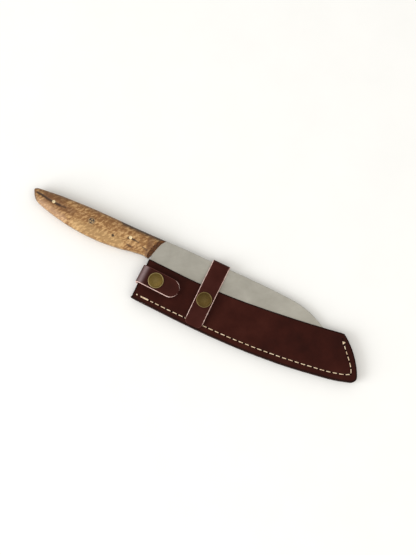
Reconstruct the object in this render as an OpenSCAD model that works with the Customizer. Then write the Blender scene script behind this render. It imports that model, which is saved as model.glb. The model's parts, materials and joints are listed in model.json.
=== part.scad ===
// A full-tang santoku-style knife lying in a side-loading leather sheath.
// The knife's own axes are used throughout: X runs from the butt to the tip, Y runs from the edge
// up to the spine, Z is the thickness with the blade's middle plane at 0. lay() sets it on a table.

/* [Blade] */
// Thickness of the blade's spine and of the tang
blade_t = 2.5; // [2:0.1:3]
// Half of the thickness left at the cutting edge
edge_half = 0.06; // [0.04:0.01:0.12]
// How far back the tip of the scales' front bevel stands from its foot
scale_bevel = 4; // [2:0.5:6]

/* [Pins] */
// Diameter of the two plain pins
pin_d = 3; // [2:0.5:4]
// Diameter of the mosaic pin
mosaic_d = 6.2; // [5:0.2:8]
// Wall of the mosaic pin's tube
mosaic_wall = 0.35; // [0.2:0.05:0.6]
// Diameter of the three rods inside the mosaic pin
rod_d = 1.7; // [1:0.1:1.9]

/* [Sheath] */
// Thickness of the two panels
panel_t = 2.6; // [2.2:0.1:3.2]
// Air on each side of the blade inside the pocket
pocket_air = 0.25; // [0.1:0.05:0.5]
// Distance from one stitch hole of the long seam to the next
stitch_pitch = 5.8; // [4:0.2:8]
// Diameter of the sewing thread
thread_d = 0.9; // [0.6:0.1:1]

/* [Straps] */
// Thickness of the two straps
strap_t = 1.8; // [1.5:0.1:2]
// Width of the strap over the spine
blade_strap_w = 16.6; // [14:0.2:18]
// Width of the strap around the heel end
heel_strap_w = 17; // [15:0.2:19]
// Distance between the stitch holes of the strap bases
base_pitch = 4; // [3:0.5:6]

/* [Snaps] */
// Diameter of the snap caps
cap_d = 14.2; // [13:0.2:15.4]
// Diameter of the socket under each strap
socket_d = 12.4; // [10:0.2:13]
// Diameter of the stud's flange on the front panel
stud_flange_d = 12; // [9:0.5:13]

/* [Hidden] */

steel = [0.64, 0.62, 0.58];
wood = [0.69, 0.53, 0.33];
brass = [0.72, 0.58, 0.30];
antique = [0.44, 0.35, 0.20];
leather = [0.23, 0.10, 0.08];
strap_leather = [0.26, 0.13, 0.11];
cream = [0.80, 0.70, 0.52];
resin = [0.16, 0.12, 0.10];

$fn = 48;
tiny = 0.01;
half_t = blade_t / 2;
far = 400;

// Smooth curve through hand-set points; every row may hold any number of values
function clamped(p, i) = p[max(0, min(len(p) - 1, i))];
function between(p, i, t) =
    let (a = clamped(p, i - 1), b = p[i], c = p[i + 1], d = clamped(p, i + 2))
    0.5 * (2 * b + (c - a) * t + (2 * a - 5 * b + 4 * c - d) * t * t
           + (3 * b - a - 3 * c + d) * t * t * t);
function curve(p, steps) =
    [for (i = [0:len(p) - 2], k = [0:steps - 1]) between(p, i, k / steps), p[len(p) - 1]];
function backwards(p) = [for (i = [len(p) - 1:-1:0]) p[i]];
function arc(centre, r, from, to, steps) =
    [for (k = [0:steps])
        let (a = from + (to - from) * k / steps) centre + r * [cos(a), sin(a)]];

// Walking along a line of points
function run_lengths(p) =
    [for (i = 0, s = 0; i < len(p); s = s + norm(clamped(p, i + 1) - p[i]), i = i + 1) s];
function walk(p, s, d) = [for (axis = [0, 1])
    lookup(d, [for (i = [0:len(p) - 1]) [s[i], p[i][axis]]])];

// ---------------------------------------------------------------- handle
// Rows from butt to front: x, top edge, bottom edge, half of the handle's thickness
belly_x = -60;
handle_rows = [
    [-123.3, -1.6, -2.6, 2.2], [-122.3, -0.6, -4.6, 3.5], [-120.5, 0.1, -8, 4.6],
    [-117, 0.5, -11.2, 5.5], [-110, 1, -14, 6.3], [-98, 1.8, -17.4, 6.9],
    [-84, 2.1, -20.4, 7.3], [-70, 2.2, -22.3, 7.46], [belly_x, 2, -23, 7.5],
    [-48, 1.7, -23.2, 7.45], [-32, 1.1, -22.1, 7.2], [-20, 0.7, -20.4, 6.9], [-9, 0.5, -19.4, 6.6]];
// Where the scales meet the blade at their front, from the spine down
front_foot = [[5, 0.3], [1.6, -4], [-0.4, -10], [-2.4, -16], [-4, -20.4]];
front_half = 6.5;
scale_round = 2.5;
section_steps = 14;
function foot_x(y) = -lookup(-y, [for (p = front_foot) [-p[1], -p[0]]]);
// Across the handle: a rounded section that starts and ends on the tang
function across(top, bottom, half) = [for (k = [0:section_steps])
    let (a = 180 * k / section_steps, c = cos(a), s = sin(a))
    [(top + bottom) / 2 + (top - bottom) / 2 * sign(c) * pow(abs(c), 2 / scale_round),
     half_t + (half - half_t) * pow(s, 2 / scale_round)]];
function scale_rings() = [
    for (r = curve(handle_rows, 2)) [for (p = across(r[1], r[2], r[3])) [r[0], p[0], p[1]]],
    [for (p = across(front_foot[0][1], front_foot[4][1], front_half))
        [foot_x(p[0]) - scale_bevel * (p[1] - half_t) / (front_half - half_t), p[0], p[1]]]];
// Height of the wood over a point of the handle
function column(i) = [for (r = handle_rows) [r[0], r[i]]];
function wood_z(x, y) =
    let (top = lookup(x, column(1)), bottom = lookup(x, column(2)), half = lookup(x, column(3)),
         c = abs(2 * y - top - bottom) / (top - bottom))
    half_t + (half - half_t) * pow(1 - pow(c, scale_round), 1 / scale_round);

pin_rear_at = [-102.2, -6.4];
pin_front_at = [-25.7, -9.6];
mosaic_at = [-63.8, -9.3];
rod_ring = 1.35;

// Solid skin over a row of rings that all have the same number of points
module loft(rings) {
    n = len(rings[0]);
    last = len(rings) - 1;
    points = [for (r = rings, p = r) p];
    walls = [for (i = [0:last - 1], k = [0:n - 1])
        let (a = i * n + k, b = i * n + (k + 1) % n) each [[a, b, b + n], [a, b + n, a + n]]];
    first_cap = [for (k = [1:n - 2]) [0, k + 1, k]];
    last_cap = [for (k = [1:n - 2]) [last * n, last * n + k, last * n + k + 1]];
    polyhedron(points, concat(walls, first_cap, last_cap));
}

module through(at, d) translate([at[0], at[1], -far / 2]) cylinder(d = d, h = far);

module handle_holes() {
    through(pin_rear_at, pin_d);
    through(pin_front_at, pin_d);
    through(mosaic_at, mosaic_d);
}

module scale() difference() {
    loft([for (r = scale_rings()) backwards(r)]);
    handle_holes();
}

// A pin dressed flush with the wood on both sides
module flush_pin(at, d) {
    z = wood_z(at[0], at[1]);
    translate([at[0], at[1], -z]) cylinder(d = d, h = 2 * z);
}

module mosaic_rod_row(d) for (k = [0:2])
    flush_pin(mosaic_at + rod_ring * [cos(90 + 120 * k), sin(90 + 120 * k)], d);

// ---------------------------------------------------------------- blade
// Rows from heel to tip: spine x, spine y, edge x, edge y, half of the spine's thickness
blade_rows = [
    [-3, 0.5, -0.5, -46.5, 1.25], [22, 0.3, 22, -47.7, 1.25], [48, -0.7, 48, -48.5, 1.2],
    [75, -1.5, 75, -48.8, 1.1], [100, -2.5, 100, -48.1, 1], [120, -3.8, 120, -46.4, 0.9],
    [135, -5.3, 135, -44.3, 0.8], [147, -8.2, 147, -41.9, 0.7], [157, -12.5, 157.5, -39, 0.6],
    [166, -17.4, 167, -35.5, 0.5], [173, -23, 174, -32.6, 0.35], [178, -30, 178.4, -30.6, 0.2]];
shoulder = 0.97;
shoulder_half = 0.3;
function blade_ring(r) =
    let (spine = [r[0], r[1]], edge = [r[2], r[3]], h = r[4] * half_t / 1.25,
         foot = spine + shoulder * (edge - spine), f = min(shoulder_half, 0.6 * h))
    [[spine[0], spine[1], -h], [foot[0], foot[1], -f], [edge[0], edge[1], -edge_half],
     [edge[0], edge[1], edge_half], [foot[0], foot[1], f], [spine[0], spine[1], h]];

tang_outline = concat(
    [for (r = curve(handle_rows, 2)) [r[0], r[1]]], front_foot,
    backwards([for (r = curve(handle_rows, 2)) [r[0], r[2]]]));

module blade() color(steel) lay() {
    loft([for (r = curve(blade_rows, 3)) blade_ring(r)]);
    difference() {
        translate([0, 0, -half_t]) linear_extrude(blade_t) polygon(tang_outline);
        handle_holes();
    }
}

module scale_front() color(wood) lay() scale();
module scale_back() color(wood) lay() mirror([0, 0, 1]) scale();
module pin_rear() color(brass) lay() flush_pin(pin_rear_at, pin_d);
module pin_front() color(brass) lay() flush_pin(pin_front_at, pin_d);

module mosaic_tube() color(brass) lay() difference() {
    flush_pin(mosaic_at, mosaic_d);
    through(mosaic_at, mosaic_d - 2 * mosaic_wall);
}

module mosaic_rods() color(antique) lay() mosaic_rod_row(rod_d);

module mosaic_resin() color(resin) lay() difference() {
    flush_pin(mosaic_at, mosaic_d - 2 * mosaic_wall);
    for (k = [0:2])
        through(mosaic_at + rod_ring * [cos(90 + 120 * k), sin(90 + 120 * k)], rod_d);
}

// ---------------------------------------------------------------- sheath panels and welt
panel_in = half_t + pocket_air;
panel_out = panel_in + panel_t;
top_edge = curve([[-2.8, -20.5], [20, -22], [45, -23.4], [80, -23.5], [110, -22], [140, -19.7],
                  [165, -17.2], [182, -15.2]], 3);
toe_edge = curve([[184.6, -15], [186, -15.8], [190, -19], [195.5, -24.2], [201, -30.8],
                  [206, -38.5], [209.6, -46], [209.8, -49.8], [207, -52.8]], 3);
bottom_edge = curve([[203, -54], [190, -57], [170, -59.6], [150, -61.7], [130, -63], [100, -63.8],
                     [60, -63], [20, -60.5], [-2.6, -58.8], [-4.2, -57.4]], 3);
welt_inner = curve([[-4, -50.3], [20, -51.6], [45, -52.9], [70, -53.5], [90, -53.8], [115, -53.5],
                    [140, -52.2], [165, -50], [182, -47.6], [192, -44.8], [193.2, -41],
                    [190, -35], [185.5, -28.5], [181.5, -22.5], [178.5, -15.8]], 3);
panel_outline = concat(top_edge, toe_edge, bottom_edge);
welt_outline = concat(welt_inner, toe_edge, bottom_edge);

seam = curve([[-1, -54.6], [20, -55.9], [45, -57.2], [70, -57.7], [90, -58.2], [115, -57.8],
              [140, -56.5], [165, -54.3], [185, -52], [198, -49.2], [203, -47.4], [204.2, -45],
              [202.6, -42.4], [198.5, -36.5], [192.5, -29.5], [187.2, -22.8]], 4);
seam_run = run_lengths(seam);
seam_total = seam_run[len(seam) - 1];
stitches = floor(seam_total / stitch_pitch);
seam_holes = [for (k = [0:stitches]) walk(seam, seam_run, seam_total * k / stitches)];
spare_hole = [185, -19.8];
knot_d = 2.8;
knot_h = 1.1;

// A thread lying half-round on the plane z = 0, from one hole to the next
module bar(a, b) {
    way = b - a;
    inset = thread_d / 3;
    translate([a[0], a[1], 0]) rotate([0, 0, atan2(way[1], way[0])])
        translate([inset, 0, 0]) rotate([90, 0, 90]) linear_extrude(norm(way) - 2 * inset)
            intersection() {
                circle(d = thread_d, $fn = 24);
                translate([-thread_d, 0]) square([2 * thread_d, thread_d]);
            }
}

module bars(holes, z, closed = false)
    translate([0, 0, z]) for (k = [0:len(holes) - (closed ? 1 : 2)])
        bar(holes[k], holes[(k + 1) % len(holes)]);

module thread_columns(holes, low, high) for (h = holes)
    translate([h[0], h[1], low]) cylinder(d = thread_d, h = high - low, $fn = 24);

module sheet(outline, low, high)
    translate([0, 0, low]) linear_extrude(high - low) polygon(outline);

module seam_thread() color(cream) lay() {
    thread_columns(seam_holes, -panel_out, panel_out);
    bars(seam_holes, panel_out);
    bars(seam_holes, -panel_out);
    translate([seam_holes[stitches][0], seam_holes[stitches][1], panel_out])
        cylinder(d = knot_d, h = knot_h);
}

module seam_drill() {
    thread_columns(seam_holes, -far, far);
    through(spare_hole, thread_d);
}

module back_panel() color(leather) lay() difference() {
    sheet(panel_outline, -panel_out, -panel_in);
    seam_drill();
    bars(seam_holes, -panel_out);
    blade_strap_place() base_stitches(blade_base_holes);
    heel_strap_place() base_stitches(heel_base_holes);
}

module front_panel() color(leather) lay() difference() {
    sheet(panel_outline, panel_in, panel_out);
    seam_drill();
    for (at = [blade_snap_at, heel_snap_at]) {
        through(at, shank_d);
        translate([at[0], at[1], panel_in - tiny]) cylinder(d = post_flange_d, h = post_flange_t + tiny);
    }
}

module welt() color(leather) lay() difference() {
    sheet(welt_outline, -panel_in, panel_in);
    seam_drill();
}

// ---------------------------------------------------------------- straps
// Both straps are worked out in their own place: the snap's axis is at 0, 0
blade_snap_at = [57.3, -36.3];
heel_snap_at = [10.6, -37];
blade_strap_turn = -2.7;
heel_strap_turn = -4.3;
strap_back = -panel_out - strap_t / 2;
snap_gap = 3.8;
strap_front = panel_out + snap_gap + strap_t / 2;
plateau = 8.5;

module blade_strap_place()
    translate([blade_snap_at[0], blade_snap_at[1], 0]) rotate([0, 0, blade_strap_turn]) children();
module heel_strap_place()
    translate([heel_snap_at[0], heel_snap_at[1], 0]) rotate([0, 0, heel_strap_turn]) children();

// A strip of leather that follows a line of points
function side_of(p, i) =
    let (way = clamped(p, i + 1) - clamped(p, i - 1)) [-way[1], way[0]] / norm(way);
function strip(p, t) = concat(
    [for (i = [0:len(p) - 1]) p[i] + side_of(p, i) * t / 2],
    [for (i = [len(p) - 1:-1:0]) p[i] - side_of(p, i) * t / 2]);

// The strap over the spine: its fold turns about an axis just under the spine
fold_at = [33.6, 0];
fold_r = 3.4;
blade_end = -25.5;
blade_base_end = -17.5;
leave_panel = [12, strap_back];
front_touch = [plateau, strap_front];
function touch_angle(p, side) =
    let (away = p - fold_at) atan2(away[1], away[0]) - side * acos(fold_r / norm(away));
fold_front = touch_angle(front_touch, 1);
fold_back = touch_angle(leave_panel, -1);
function on_fold(a) = fold_at + fold_r * [cos(a), sin(a)];
blade_flap_line = [on_fold(fold_front), front_touch, [-plateau, strap_front],
                   [-14, strap_front - 0.5], [-20, strap_front - 1.4], [blade_end, strap_front - 2.4]];
blade_base_line = [[blade_base_end, strap_back], leave_panel, on_fold(fold_back)];
corner_r = 5;

// Length along Y, width along X
module along_y(outline, width)
    rotate([90, 0, 90]) linear_extrude(width, center = true) polygon(outline);

// A strap's plan from one end to the other, with rounded corners at the low end
module strap_plan_y(low, high, width) linear_extrude(2 * far, center = true) {
    for (side = [-1, 1]) translate([side * (width / 2 - corner_r), low + corner_r]) circle(corner_r);
    translate([-width / 2 + corner_r, low]) square([width - 2 * corner_r, corner_r]);
    translate([-width / 2, low + corner_r]) square([width, high - low - corner_r]);
}

module blade_strap_base() color(strap_leather) lay() blade_strap_place() difference() {
    intersection() {
        along_y(strip(blade_base_line, strap_t), blade_strap_w);
        strap_plan_y(blade_base_end, far, blade_strap_w);
    }
    base_stitches(blade_base_holes);
}

module blade_strap_fold() color(strap_leather) lay() blade_strap_place() {
    wedge = [fold_at, for (k = [0:6])
        fold_at + far / 10 * [cos(fold_back + (fold_front - fold_back) * k / 6),
                              sin(fold_back + (fold_front - fold_back) * k / 6)]];
    rotate([90, 0, 90]) intersection() {
        translate([fold_at[0], fold_at[1], -blade_strap_w / 2]) difference() {
            cylinder(r = fold_r + strap_t / 2, h = blade_strap_w);
            translate([0, 0, -tiny]) cylinder(r = fold_r - strap_t / 2, h = blade_strap_w + 2 * tiny);
        }
        linear_extrude(blade_strap_w + 1, center = true) polygon(wedge);
    }
}

module blade_strap_flap() color(strap_leather) lay() blade_strap_place() difference() {
    intersection() {
        along_y(strip(blade_flap_line, strap_t), blade_strap_w);
        strap_plan_y(blade_end, far, blade_strap_w);
    }
    through([0, 0], shank_d);
}

// The strap around the heel end: up the back, around the panels' ends, over the front
wall_at = -15.55;
wall_high = 3;
corner_at = [wall_at + 1.1, strap_back + 1.1];
front_bend_r = 5.5;
front_bend_at = [wall_at + front_bend_r, strap_front - front_bend_r];
heel_end = 22.7;
heel_base_end = 16;
heel_base_line = concat([[heel_base_end, strap_back]], arc(corner_at, 1.1, -90, -180, 6),
                        [[wall_at, -wall_high]]);
heel_flap_line = concat([[wall_at, wall_high]], arc(front_bend_at, front_bend_r, 180, 90, 12),
                        [[plateau, strap_front], [14, strap_front - 0.4], [heel_end, strap_front - 1.5]]);

// Length along X, width along Y
module along_x(outline, width)
    rotate([90, 0, 0]) linear_extrude(width, center = true) polygon(outline);

module round_plan_x(end, width, r) linear_extrude(2 * far, center = true) {
    for (side = [-1, 1]) translate([end - r, side * (width / 2 - r)]) circle(r);
    translate([-far, -width / 2]) square([far + end - r, width]);
    if (width > 2 * r) translate([end - r, -width / 2 + r]) square([r, width - 2 * r]);
}

module heel_strap_base() color(strap_leather) lay() heel_strap_place() difference() {
    intersection() {
        along_x(strip(heel_base_line, strap_t), heel_strap_w);
        round_plan_x(heel_base_end, heel_strap_w, corner_r);
    }
    base_stitches(heel_base_holes);
}

module heel_strap_fold() color(strap_leather) lay() heel_strap_place()
    translate([wall_at - strap_t / 2, -heel_strap_w / 2, -wall_high])
        cube([strap_t, heel_strap_w, 2 * wall_high]);

module heel_strap_flap() color(strap_leather) lay() heel_strap_place() difference() {
    intersection() {
        along_x(strip(heel_flap_line, strap_t), heel_strap_w);
        round_plan_x(heel_end, heel_strap_w, heel_strap_w / 2);
    }
    through([0, 0], shank_d);
}

// The straps' bases are sewn to the back panel in a closed rectangle
function box_holes(left, right, low, high) =
    let (p = [[left, low], [right, low], [right, high], [left, high], [left, low]],
         s = run_lengths(p), n = round(s[4] / base_pitch))
    [for (k = [0:n - 1]) walk(p, s, s[4] * k / n)];
blade_base_holes = box_holes(-5.4, 5.4, -15, 8.6);
heel_base_holes = box_holes(-10.4, 13.4, -6, 6);
base_out = -panel_out - strap_t;

// Threads flush with the strap's outer face and with the panel's inner face
module base_stitches(holes) {
    thread_columns(holes, base_out, -panel_in);
    bars(holes, base_out, closed = true);
    translate([0, 0, -panel_in]) mirror([0, 0, 1]) bars(holes, 0, closed = true);
}

module blade_strap_thread() color(cream) lay() blade_strap_place() base_stitches(blade_base_holes);
module heel_strap_thread() color(cream) lay() heel_strap_place() base_stitches(heel_base_holes);

// ---------------------------------------------------------------- snaps
// Heights are measured from the blade's middle plane, and every piece turns about the snap's axis
shank_d = 4;
shank_bore = 2.8;
post_flange_d = 11;
post_flange_t = 0.5;
stud_flange_t = 0.6;
neck_r = 2.8;
head_r = 3.1;
head_low = panel_out + 1.7;
head_top = panel_out + 2.4;
socket_low = panel_out + 0.8;
socket_top = strap_front - strap_t / 2;
socket_wall = 0.6;
lip_r = 3.35;
cavity_r = 3.65;
wire_r = 0.28;
wire_ring = 3.3;
cap_low = strap_front + strap_t / 2;

module turned(profile) rotate_extrude() polygon(profile);

module snap_stud() turned([
    [shank_d / 2, panel_out], [stud_flange_d / 2, panel_out],
    [stud_flange_d / 2, panel_out + stud_flange_t], [neck_r, panel_out + stud_flange_t],
    [neck_r, head_low - 0.2], [head_r, head_low], [head_r, head_low + 0.3],
    [head_r - 0.5, head_top], [shank_d / 2, head_top]]);

// Hollow rivet from inside the pocket, flared over the stud
module snap_post() turned([
    [shank_bore / 2, panel_in + 0.05], [post_flange_d / 2, panel_in + 0.05],
    [post_flange_d / 2, panel_in + post_flange_t], [shank_d / 2, panel_in + post_flange_t],
    [shank_d / 2, head_top], [shank_d / 2 + 0.4, head_top],
    [shank_d / 2 + 0.3, head_top + 0.2], [shank_bore / 2, head_top + 0.2]]);

module snap_socket() turned([
    [lip_r, socket_low], [socket_d / 2 - 0.3, socket_low], [socket_d / 2, socket_low + 0.3],
    [socket_d / 2, socket_top - 0.8], [socket_d / 2 - 0.8, socket_top], [shank_d / 2, socket_top],
    [shank_d / 2, socket_top - socket_wall], [cavity_r, socket_top - socket_wall],
    [cavity_r, socket_low + 0.25], [lip_r, socket_low + 0.25]]);

// Split ring that snaps under the stud's head
module snap_spring() translate([0, 0, socket_low + 0.27 + wire_r])
    rotate_extrude(angle = 320) translate([wire_ring, 0]) circle(wire_r, $fn = 16);

// Rolled rim, shallow dome and the hollow rivet that holds cap, strap and socket together
module snap_cap() turned(concat(
    [[shank_bore / 2, socket_top - socket_wall - 0.3],
     [shank_d / 2 + 0.4, socket_top - socket_wall - 0.3],
     [shank_d / 2 + 0.4, socket_top - socket_wall], [shank_d / 2, socket_top - socket_wall],
     [shank_d / 2, cap_low], [cap_d / 2 - 0.4, cap_low], [cap_d / 2, cap_low + 0.3]],
    arc([cap_d / 2 - 0.5, cap_low + 0.55], 0.5, 0, 150, 6),
    [[cap_d / 2 - 1.3, cap_low + 0.85], [4, cap_low + 1.2], [2, cap_low + 1.38],
     [0, cap_low + 1.42], [0, cap_low + 0.2], [shank_bore / 2, cap_low + 0.2]]));

module blade_snap_stud() color(antique) lay() blade_strap_place() snap_stud();
module blade_snap_post() color(brass) lay() blade_strap_place() snap_post();
module blade_snap_cap() color(antique) lay() blade_strap_place() snap_cap();
module blade_snap_socket() color(antique) lay() blade_strap_place() snap_socket();
module blade_snap_spring() color(brass) lay() blade_strap_place() snap_spring();
module heel_snap_stud() color(antique) lay() heel_strap_place() snap_stud();
module heel_snap_post() color(brass) lay() heel_strap_place() snap_post();
module heel_snap_cap() color(antique) lay() heel_strap_place() snap_cap();
module heel_snap_socket() color(antique) lay() heel_strap_place() snap_socket();
module heel_snap_spring() color(brass) lay() heel_strap_place() snap_spring();

// ---------------------------------------------------------------- on the table
// The back rests on the blade strap's base and on the toe, which tips it by a small angle
rest_strap_x = 65.5;
rest_toe_x = 207;
rest_slope = strap_t / (rest_toe_x - rest_strap_x);
rest_angle = atan(rest_slope);
// The plan's outermost points: the toe, the handle's top and the sheath's lower edge
plan_right = 210;
plan_top = 2.2;
plan_low = -63.8;
mid_x = (plan_right + handle_rows[0][0]) / 2;
mid_y = (plan_top + plan_low) / 2;
lift = (panel_out + rest_toe_x * rest_slope) * cos(rest_angle);

module lay() translate([-mid_x, -mid_y, lift]) rotate([0, rest_angle, 0]) children();

blade();
scale_front();
scale_back();
pin_rear();
pin_front();
mosaic_tube();
mosaic_rods();
mosaic_resin();
back_panel();
front_panel();
welt();
seam_thread();
blade_strap_base();
blade_strap_fold();
blade_strap_flap();
blade_strap_thread();
heel_strap_base();
heel_strap_fold();
heel_strap_flap();
heel_strap_thread();
blade_snap_stud();
blade_snap_post();
blade_snap_cap();
blade_snap_socket();
blade_snap_spring();
heel_snap_stud();
heel_snap_post();
heel_snap_cap();
heel_snap_socket();
heel_snap_spring();
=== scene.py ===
import json
import math

import bpy
import numpy as np
from mathutils import Matrix, Vector


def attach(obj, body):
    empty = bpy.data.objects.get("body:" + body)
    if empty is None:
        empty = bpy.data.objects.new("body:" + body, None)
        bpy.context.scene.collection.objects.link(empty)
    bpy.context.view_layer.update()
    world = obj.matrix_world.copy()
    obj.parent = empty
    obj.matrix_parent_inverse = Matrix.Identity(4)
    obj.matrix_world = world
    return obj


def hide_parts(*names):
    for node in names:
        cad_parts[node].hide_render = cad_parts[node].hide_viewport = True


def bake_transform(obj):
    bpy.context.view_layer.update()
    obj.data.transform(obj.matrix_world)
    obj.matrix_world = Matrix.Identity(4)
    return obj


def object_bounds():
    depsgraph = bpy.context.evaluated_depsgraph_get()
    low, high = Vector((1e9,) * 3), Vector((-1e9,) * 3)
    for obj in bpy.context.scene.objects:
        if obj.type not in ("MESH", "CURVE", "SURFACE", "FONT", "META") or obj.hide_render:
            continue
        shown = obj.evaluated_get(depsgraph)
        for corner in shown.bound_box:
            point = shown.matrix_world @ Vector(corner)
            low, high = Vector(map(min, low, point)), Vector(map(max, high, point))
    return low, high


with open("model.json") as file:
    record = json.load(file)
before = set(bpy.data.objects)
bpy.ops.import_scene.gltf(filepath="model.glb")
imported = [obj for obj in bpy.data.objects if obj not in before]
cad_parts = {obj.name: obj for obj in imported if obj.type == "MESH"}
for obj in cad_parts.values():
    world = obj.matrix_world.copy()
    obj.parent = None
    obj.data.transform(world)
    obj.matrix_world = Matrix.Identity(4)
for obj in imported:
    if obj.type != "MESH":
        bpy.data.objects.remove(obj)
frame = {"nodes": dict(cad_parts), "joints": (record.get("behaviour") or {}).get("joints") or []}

cad_low, cad_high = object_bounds()
JOINTS = {j["name"]: j for j in frame["joints"]}

# ---------- the knife's own axes
# All shapes are worked out in millimetres in the knife's axes: X from butt to tip, Y from edge to
# spine, Z the thickness, with the blade's middle plane at 0. The joints say how that lies in the row.
BLADE_SNAP, BLADE_TURN = (57.3, -36.3), -2.7
HEEL_SNAP, HEEL_TURN = (10.6, -37), -4.3
FOLD = (33.6, 0)
FOLD_R = 3.4
HALF_STEEL = 1.25
PANEL_IN = 1.5
PANEL_OUT = 4.1
SNAP_HEIGHT = 3.8
STRAP_T = 1.8
STRAP_BACK = -PANEL_OUT - STRAP_T / 2
STRAP_FRONT = PANEL_OUT + SNAP_HEIGHT + STRAP_T / 2
CAP_R = 7.1


def placed(at, turn, points):
    """Points of a strap's own place (snap's axis at 0, 0) in the knife's axes."""
    a = math.radians(turn)
    p = np.atleast_2d(np.asarray(points, float))
    x = at[0] + p[:, 0] * math.cos(a) - p[:, 1] * math.sin(a)
    y = at[1] + p[:, 0] * math.sin(a) + p[:, 1] * math.cos(a)
    return np.column_stack([x, y, p[:, 2]])


draw = JOINTS["knife_draw"]["axis"]
TILT = np.array(Matrix.Rotation(math.atan2(draw[2], -draw[0]), 3, "Y"))
fold_point = placed(BLADE_SNAP, BLADE_TURN, [(0, FOLD[0], FOLD[1])])[0]
ORIGIN = np.array(JOINTS["blade_strap_hinge"]["pos_m"]) * 1000 - TILT @ fold_point


def to_row(points):
    return (np.atleast_2d(points) @ TILT.T + ORIGIN) / 1000


# ---------- curves
def curve(points, steps):
    """A smooth curve through given points (Catmull-Rom), as in the design."""
    p = np.asarray(points, float)
    held = np.vstack([p[:1], p, p[-1:]])
    out = []
    for i in range(len(p) - 1):
        a, b, c, d = held[i:i + 4]
        for t in np.arange(steps) / steps:
            cubic = (2 * b + (c - a) * t + (2 * a - 5 * b + 4 * c - d) * t * t
                     + (3 * b - a - 3 * c + d) * t ** 3)
            out.append(0.5 * cubic)
    return np.array(out + [p[-1]])


def arc(centre, r, start, end, steps):
    a = np.radians(np.linspace(start, end, steps + 1))
    return np.column_stack([centre[0] + r * np.cos(a), centre[1] + r * np.sin(a)])


def run(points):
    steps = np.linalg.norm(np.diff(points, axis=0), axis=1)
    return np.concatenate([[0], np.cumsum(steps)])


def sample(points, distances):
    s = run(points)
    return np.column_stack([np.interp(distances, s, points[:, k]) for k in range(points.shape[1])])


def ways_along(points):
    """The unit direction of a line at each of its points."""
    way = np.gradient(points, axis=0)
    return way / np.linalg.norm(way, axis=1, keepdims=True)


def bunched(count):
    """0 to 1 in steps that get finer towards both ends."""
    return (1 - np.cos(np.pi * np.linspace(0, 1, count))) / 2


def distance(points, line):
    """How far each point is from a line of points, in the plane."""
    best = np.full(len(points), np.inf)
    for a, b in zip(line[:-1], line[1:]):
        way = b - a
        t = np.clip(((points - a) @ way) / max(way @ way, 1e-9), 0, 1)
        best = np.minimum(best, np.linalg.norm(points - a - t[:, None] * way, axis=1))
    return best


# ---------- meshes
def piece(name, points, faces, materials, which=None, smooth_under=35, uv=None, marks=None):
    """A mesh from points in the knife's axes; which says each face's material.

    marks are values per point that the materials read, such as how near a rim it is.
    """
    mesh = bpy.data.meshes.new(name)
    mesh.from_pydata(to_row(points).tolist(), [], [list(f) for f in faces])
    for m in materials:
        mesh.materials.append(m)
    if which is not None:
        mesh.polygons.foreach_set("material_index", np.asarray(which, np.int32))
    if uv is not None:
        layer = mesh.uv_layers.new(name="UVMap")
        corners = np.zeros(len(mesh.loops), np.int32)
        mesh.loops.foreach_get("vertex_index", corners)
        layer.data.foreach_set("uv", np.asarray(uv, np.float32)[corners].ravel())
    for mark, values in (marks or {}).items():
        layer = mesh.attributes.new(mark, "FLOAT", "POINT")
        layer.data.foreach_set("value", np.asarray(values, np.float32))
    mesh.validate()
    mesh.polygons.foreach_set("use_smooth", np.ones(len(mesh.polygons), bool))
    mesh.set_sharp_from_angle(angle=math.radians(smooth_under))
    mesh.update()
    obj = bpy.data.objects.new(name, mesh)
    bpy.context.scene.collection.objects.link(obj)
    return obj


def skin(rows, cols, wrap=True, first=0):
    """Faces over rows of cols points each."""
    faces = []
    for i in range(rows - 1):
        for k in range(cols if wrap else cols - 1):
            a, b = first + i * cols + k, first + i * cols + (k + 1) % cols
            faces.append((a, b, b + cols, a + cols))
    return faces


def joined(parts):
    """(points, faces) of several (points, faces) put together."""
    points, faces, first = [], [], 0
    for p, f in parts:
        points.append(p)
        faces += [tuple(first + v for v in face) for face in f]
        first += len(p)
    return np.concatenate(points), faces


def tube(rings, caps=True):
    """(points, faces) of a closed skin over rings of points."""
    r, n = len(rings), len(rings[0])
    faces = skin(r, n)
    if caps:
        faces += [tuple(range(n))[::-1], tuple((r - 1) * n + k for k in range(n))]
    return np.concatenate(rings), faces


def turned(profile, at, turn, sides=96):
    """(points, faces) of a closed profile of (radius, height) turned round a snap's axis."""
    p = np.asarray(profile, float)
    rings = []
    for a in np.linspace(0, 2 * np.pi, sides, endpoint=False):
        local = np.column_stack([p[:, 0] * np.cos(a), p[:, 0] * np.sin(a), p[:, 1]])
        rings.append(placed(at, turn, local))
    rings.append(rings[0])
    return tube(rings, caps=False)


# ---------- shader helpers
def srgb(r, g, b):
    """A linear colour from screen values of 0 to 255."""
    return tuple(c / 12.92 if c <= 0.04045 else ((c + 0.055) / 1.055) ** 2.4
                 for c in (r / 255, g / 255, b / 255)) + (1,)


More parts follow.
